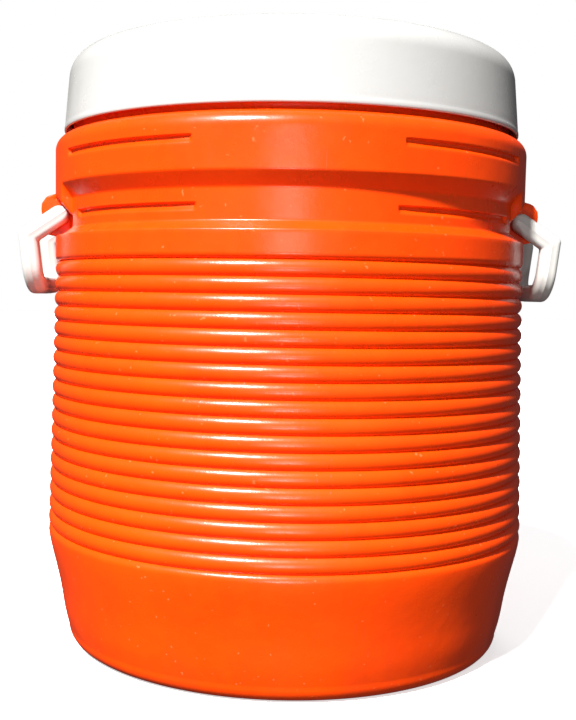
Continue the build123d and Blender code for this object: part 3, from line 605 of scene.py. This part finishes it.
# -------------------------------------------------------------------- materials
class Nodes:
    """A short hand for node trees."""

    def __init__(self, name):
        self.mat = bpy.data.materials.new(name)
        self.mat.use_nodes = True
        self.t = self.mat.node_tree
        self.t.nodes.clear()
        self.out = self.t.nodes.new("ShaderNodeOutputMaterial")
        self.bsdf = self.t.nodes.new("ShaderNodeBsdfPrincipled")
        self.t.links.new(self.bsdf.outputs[0], self.out.inputs["Surface"])
        self.coord = self.t.nodes.new("ShaderNodeTexCoord").outputs["Object"]

    def put(self, sock, value):
        if hasattr(value, "is_output"):
            self.t.links.new(value, sock)
        else:
            sock.default_value = value

    def noise(self, scale, detail=3.0, rough=0.5, stretch=None, distortion=0.0, shift=(0, 0, 0)):
        n = self.t.nodes.new("ShaderNodeTexNoise")
        n.inputs["Scale"].default_value = scale
        n.inputs["Detail"].default_value = detail
        n.inputs["Roughness"].default_value = rough
        n.inputs["Distortion"].default_value = distortion
        src = self.coord
        if stretch or any(shift):
            m = self.t.nodes.new("ShaderNodeMapping")
            m.inputs["Scale"].default_value = stretch or (1, 1, 1)
            m.inputs["Location"].default_value = shift
            self.t.links.new(src, m.inputs["Vector"])
            src = m.outputs[0]
        self.t.links.new(src, n.inputs["Vector"])
        return n.outputs["Fac"]

    def ramp(self, fac, stops):
        r = self.t.nodes.new("ShaderNodeValToRGB")
        el = r.color_ramp.elements
        while len(el) < len(stops):
            el.new(0.5)
        for e, (p, c) in zip(el, stops):
            e.position = p
            e.color = (c, c, c, 1) if isinstance(c, (int, float)) else (*c, 1)
        self.put(r.inputs[0], fac)
        return r.outputs[0]

    def span(self, fac, lo, hi, to_lo, to_hi):
        m = self.t.nodes.new("ShaderNodeMapRange")
        m.clamp = True
        for k, v in (("Value", fac), ("From Min", lo), ("From Max", hi), ("To Min", to_lo), ("To Max", to_hi)):
            self.put(m.inputs[k], v)
        return m.outputs[0]

    def math(self, op, a, b=0.0, c=None):
        m = self.t.nodes.new("ShaderNodeMath")
        m.operation = op
        self.put(m.inputs[0], a)
        self.put(m.inputs[1], b)
        if c is not None:
            self.put(m.inputs[2], c)
        return m.outputs[0]

    def mix(self, fac, a, b, kind="MIX"):
        m = self.t.nodes.new("ShaderNodeMix")
        m.data_type = "RGBA"
        m.blend_type = kind
        self.put(m.inputs[0], fac)
        for i, v in ((6, a), (7, b)):
            self.put(m.inputs[i], v if hasattr(v, "is_output") else (*v, 1))
        return m.outputs[2]

    def axis(self, which):
        s = self.t.nodes.new("ShaderNodeSeparateXYZ")
        self.t.links.new(self.coord, s.inputs[0])
        return s.outputs[which]

    def bump(self, height, strength, distance, normal=None):
        b = self.t.nodes.new("ShaderNodeBump")
        b.inputs["Strength"].default_value = strength
        b.inputs["Distance"].default_value = distance
        self.put(b.inputs["Height"], height)
        if normal is not None:
            self.t.links.new(normal, b.inputs["Normal"])
        return b.outputs[0]

    def done(self, color, rough, normal=None, **fixed):
        self.put(self.bsdf.inputs["Base Color"], color if hasattr(color, "is_output") else (*color, 1))
        self.put(self.bsdf.inputs["Roughness"], rough)
        if normal is not None:
            self.t.links.new(normal, self.bsdf.inputs["Normal"])
        for k, v in fixed.items():
            self.bsdf.inputs[k.replace("_", " ")].default_value = v
        return self.mat


def shell_material():
    n = Nodes("orange_polyethylene")
    cloud = n.noise(9.0, 4, 0.55)
    mottle = n.noise(55.0, 3, 0.6)
    color = n.mix(n.span(cloud, 0.35, 0.68, 0.0, 1.0), (0.89, 0.0530, 0.0004), (0.94, 0.0620, 0.0007))
    color = n.mix(n.span(mottle, 0.40, 0.72, 0.0, 0.35), color, (0.96, 0.072, 0.001))
    # painted shade: darker and redder low down on the skirt, broken into streaks; the same mask also roughens the
    # surface
    z = n.axis("Z")
    streak = n.noise(14.0, 4, 0.6, stretch=(1.0, 1.0, 0.16))
    low = n.span(z, 0.0, 0.085, 1.0, 0.0)
    painted_low_shade = n.math("MULTIPLY", low, n.span(streak, 0.45, 0.72, 0.0, 0.5))
    color = n.mix(painted_low_shade, color, (0.52, 0.036, 0.006))
    # fine upright scuffs and a few longer ones
    fine = n.noise(330.0, 2, 0.5, stretch=(1.0, 1.0, 0.035))
    scuff = n.math("MULTIPLY", n.span(fine, 0.665, 0.73, 0.0, 1.0), n.span(n.noise(11.0, 3, 0.6, shift=(3, 1, 2)), 0.50, 0.66, 0.0, 1.0))
    color = n.mix(n.math("MULTIPLY", scuff, 0.35), color, (0.55, 0.05, 0.01))
    # painted glints: pale pink specks over the orange stand in for light sparkling off its fine peel
    painted_glints = n.span(n.noise(240.0, 1, 0.5, shift=(5, 2, 8)), 0.735, 0.77, 0.0, 1.0)
    color = n.mix(n.math("MULTIPLY", painted_glints, 0.30), color, (0.98, 0.26, 0.10))
    rough = n.span(n.noise(21.0, 4, 0.6, shift=(1, 7, 3)), 0.3, 0.75, 0.25, 0.335)
    rough = n.math("ADD", rough, n.math("MULTIPLY", scuff, 0.10))
    rough = n.math("ADD", rough, n.math("MULTIPLY", painted_low_shade, 0.25))
    peel = n.noise(900.0, 2, 0.5)
    broad = n.noise(60.0, 2, 0.5, shift=(2, 2, 5))
    normal = n.bump(broad, 0.16, 0.0018)
    normal = n.bump(peel, 0.34, 0.00022, normal)
    normal = n.bump(n.math("MULTIPLY", scuff, -1.0), 0.20, 0.00015, normal)
    return n.done(color, rough, normal, IOR=1.49, Specular_IOR_Level=0.44)


def white_material(name, tone, warm, rough_lo, rough_hi, peel=0.12):
    n = Nodes(name)
    cloud = n.noise(12.0, 4, 0.55)
    color = n.mix(n.span(cloud, 0.35, 0.7, 0.0, 1.0), tone, warm)
    smut = n.span(n.noise(38.0, 5, 0.62, shift=(4, 4, 1)), 0.60, 0.82, 0.0, 0.30)
    color = n.mix(smut, color, tuple(c * 0.80 for c in warm))
    hair = n.noise(260.0, 2, 0.5, stretch=(1.0, 0.06, 1.0), distortion=0.6)
    scratch = n.math("MULTIPLY", n.span(hair, 0.68, 0.74, 0.0, 1.0), n.span(n.noise(15.0, 3, 0.6, shift=(9, 1, 1)), 0.5, 0.68, 0.0, 1.0))
    rough = n.span(n.noise(26.0, 4, 0.6, shift=(1, 7, 3)), 0.3, 0.75, rough_lo, rough_hi)
    rough = n.math("ADD", rough, n.math("MULTIPLY", scratch, 0.15))
    normal = n.bump(n.noise(70.0, 2, 0.5), 0.10, 0.0012)
    normal = n.bump(n.noise(800.0, 2, 0.5), peel, 0.0001, normal)
    normal = n.bump(n.math("MULTIPLY", scratch, -1.0), 0.2, 0.0001, normal)
    return n.done(color, rough, normal, IOR=1.49)


def rubber_material():
    n = Nodes("silicone_rubber")
    color = n.mix(n.span(n.noise(60.0, 4, 0.6), 0.35, 0.7, 0, 1), (0.52, 0.52, 0.50), (0.62, 0.61, 0.58))
    rough = n.span(n.noise(120.0, 3, 0.6), 0.3, 0.7, 0.45, 0.62)
    return n.done(color, rough, n.bump(n.noise(1200.0, 2, 0.5), 0.3, 0.0001), IOR=1.41)


def foam_material():
    n = Nodes("poured_foam")
    v = n.t.nodes.new("ShaderNodeTexVoronoi")
    v.inputs["Scale"].default_value = 900.0
    n.t.links.new(n.coord, v.inputs["Vector"])
    cells = v.outputs["Distance"]
    color = n.mix(n.span(n.noise(25.0, 4, 0.6), 0.3, 0.7, 0, 1), (0.70, 0.58, 0.33), (0.80, 0.70, 0.46))
    rough = n.span(cells, 0.0, 0.6, 0.95, 0.75)
    return n.done(color, rough, n.bump(cells, 0.8, 0.0006))


def red_material():
    n = Nodes("red_button_plastic")
    color = n.mix(n.span(n.noise(70.0, 4, 0.6), 0.35, 0.7, 0, 1), (0.62, 0.020, 0.010), (0.72, 0.035, 0.014))
    rough = n.span(n.noise(90.0, 3, 0.6, shift=(2, 3, 4)), 0.3, 0.7, 0.24, 0.38)
    normal = n.bump(n.noise(900.0, 2, 0.5), 0.2, 0.0001)
    return n.done(color, rough, normal, IOR=1.49)


def steel_material():
    n = Nodes("stainless_wire")
    color = n.mix(n.span(n.noise(400.0, 3, 0.6), 0.3, 0.7, 0, 1), (0.50, 0.51, 0.53), (0.66, 0.66, 0.68))
    rough = n.span(n.noise(700.0, 3, 0.6), 0.3, 0.7, 0.22, 0.42)
    return n.done(color, rough, n.bump(n.noise(2500.0, 2, 0.5), 0.3, 0.00005), Metallic=1.0)


MATS = {
    "shell_plastic": shell_material(),
    "lid_plastic": white_material("white_lid_plastic", (0.485, 0.485, 0.48), (0.465, 0.462, 0.448), 0.20, 0.32),
    "handle_plastic": white_material("white_handle_plastic", (0.56, 0.555, 0.54), (0.52, 0.505, 0.475), 0.26, 0.40, 0.2),
    "liner_plastic": white_material("liner_polyethylene", (0.76, 0.76, 0.74), (0.70, 0.69, 0.65), 0.38, 0.52, 0.3),
    "foam": foam_material(),
    "seal_rubber": rubber_material(),
    "spigot_plastic": white_material("white_acetal", (0.80, 0.80, 0.78), (0.74, 0.73, 0.70), 0.26, 0.38, 0.15),
    "button_plastic": red_material(),
    "spring_steel": steel_material(),
}


def dress(obj, slot):
    obj.data.materials.clear()
    obj.data.materials.append(MATS[slot])


dress(shell, "shell_plastic")
dress(lid, "lid_plastic")
dress(right, "handle_plastic")
dress(left, "handle_plastic")
slot_of = {p["node"]: p["material_slot"] for p in frame["record"]["subparts"]}
STOOD_FOR = {"outer_shell", "lid_cover", "right_handle", "left_handle"}
for name, obj in frame["nodes"].items():
    if name not in STOOD_FOR:
        dress(obj, slot_of[name])

# ------------------------------------------------------------------------ stage
def stage_floor():
    n = Nodes("pale_floor")
    color = n.mix(n.span(n.noise(3.0, 4, 0.6), 0.3, 0.7, 0, 1), (0.80, 0.80, 0.80), (0.83, 0.83, 0.83))
    n.done(color, 0.9, Specular_IOR_Level=0.1, Emission_Color=(1, 1, 1, 1), Emission_Strength=0.62)
    size = 14.0
    verts = [(x, y, -0.0002) for x, y in ((-size, -size), (size, -size), (size, size), (-size, size))]
    obj = new_object("floor", verts, [(0, 1, 2, 3)])
    obj.data.materials.append(n.mat)
    obj.visible_diffuse = False      # the pale floor doesn't throw its light back onto the jug
    obj.visible_glossy = False
    obj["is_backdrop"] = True
    return obj


stage_floor()

world = bpy.data.worlds.new("studio")
scene.world = world
world.use_nodes = True
wt = world.node_tree
wt.nodes.clear()
w_out = wt.nodes.new("ShaderNodeOutputWorld")
w_bg = wt.nodes.new("ShaderNodeBackground")
w_path = wt.nodes.new("ShaderNodeLightPath")
w_mix = wt.nodes.new("ShaderNodeMix")
w_mix.data_type = "RGBA"
w_gloss = wt.nodes.new("ShaderNodeMix")
w_gloss.data_type = "RGBA"
w_up = wt.nodes.new("ShaderNodeSeparateXYZ")
w_dir = wt.nodes.new("ShaderNodeTexCoord")
wt.links.new(w_dir.outputs["Generated"], w_up.inputs[0])
w_sky = wt.nodes.new("ShaderNodeMapRange")
w_sky.clamp = True
for k, v in (("From Min", -0.35), ("From Max", 0.55), ("To Min", 0.06), ("To Max", 0.28)):
    w_sky.inputs[k].default_value = v
wt.links.new(w_up.outputs[2], w_sky.inputs["Value"])
w_tint = wt.nodes.new("ShaderNodeCombineColor")
for k in range(3):
    wt.links.new(w_sky.outputs[0], w_tint.inputs[k])
wt.links.new(w_tint.outputs[0], w_gloss.inputs[6])
w_gloss.inputs[7].default_value = (0.05, 0.05, 0.055, 1)
wt.links.new(w_path.outputs["Is Glossy Ray"], w_gloss.inputs[0])
wt.links.new(w_gloss.outputs[2], w_mix.inputs[6])
w_mix.inputs[7].default_value = (1.0, 1.0, 1.0, 1)
wt.links.new(w_path.outputs["Is Camera Ray"], w_mix.inputs[0])
wt.links.new(w_mix.outputs[2], w_bg.inputs["Color"])
wt.links.new(w_bg.outputs[0], w_out.inputs["Surface"])


def sun(name, azimuth, elevation, strength, angle, color=(1, 1, 1)):
    """Light from azimuth degrees left of the front (-Y), at an elevation."""
    data = bpy.data.lights.new(name, "SUN")
    data.energy, data.angle, data.color = strength, math.radians(angle), color
    obj = bpy.data.objects.new(name, data)
    a, e = math.radians(azimuth), math.radians(elevation)
    towards = Vector((-math.sin(a) * math.cos(e), -math.cos(a) * math.cos(e), math.sin(e)))
    obj.rotation_mode = "QUATERNION"
    obj.rotation_quaternion = towards.to_track_quat("Z", "Y")
    scene.collection.objects.link(obj)
    return obj


def panel(name, pos, target, size, watts, color=(1, 1, 1), shape="RECTANGLE"):
    data = bpy.data.lights.new(name, "AREA")
    data.shape, data.size, data.size_y, data.energy, data.color = shape, size[0], size[1], watts, color
    obj = bpy.data.objects.new(name, data)
    obj.location = pos
    obj.rotation_mode = "QUATERNION"
    obj.rotation_quaternion = (Vector(pos) - Vector(target)).to_track_quat("Z", "Y")
    scene.collection.objects.link(obj)
    return obj


sun("key", 30.0, 49.0, 9.8, 5.0, (1.0, 0.985, 0.96))
back = sun("back_fill", 180.0, 18.0, 1.7, 30.0)
back.visible_glossy = False
panel("front_fill", (-0.086, -2.6, 0.42), (0, 0, 0.26), (0.45, 0.6), 8.0)
panel("low_fill", (-0.032, -0.86, 0.035), (-0.01, -0.2, 0.27), (0.06, 0.06), 1.1)

# ----------------------------------------------------------------------- camera
F_PX, W_PX, H_PX = 1067.8, 576, 720
CX, CY = 261.4, 387.4
cam_data = bpy.data.cameras.new("camera")
cam_data.sensor_fit = "AUTO"
cam_data.sensor_width = 36.0
cam_data.lens = F_PX / H_PX * 36.0
cam_data.shift_x = (W_PX / 2 - CX) / H_PX
cam_data.shift_y = (CY - H_PX / 2) / H_PX
cam_data.clip_start, cam_data.clip_end = 0.01, 100
cam = bpy.data.objects.new("camera", cam_data)
pitch, yaw, roll, turn = (math.radians(v) for v in (-4.92, 1.30, 0.98, -1.9))
r0 = Vector((math.cos(yaw), math.sin(yaw), 0))
f0 = Vector((-math.sin(yaw) * math.cos(pitch), math.cos(yaw) * math.cos(pitch), math.sin(pitch)))
u0 = r0.cross(f0)
r1 = math.cos(roll) * r0 + math.sin(roll) * u0
u1 = -math.sin(roll) * r0 + math.cos(roll) * u0
spin = Matrix.Rotation(turn, 3, "Z")
r1, u1, f1 = spin @ r1, spin @ u1, spin @ f0
pos = Vector((-0.0313184, -0.9440807, 0.2977))
m = Matrix((r1, u1, -f1)).transposed().to_4x4()
m.translation = pos
cam.matrix_world = m
scene.collection.objects.link(cam)
scene.camera = cam
scene.view_settings.view_transform = "Standard"
scene.view_settings.look = "None"
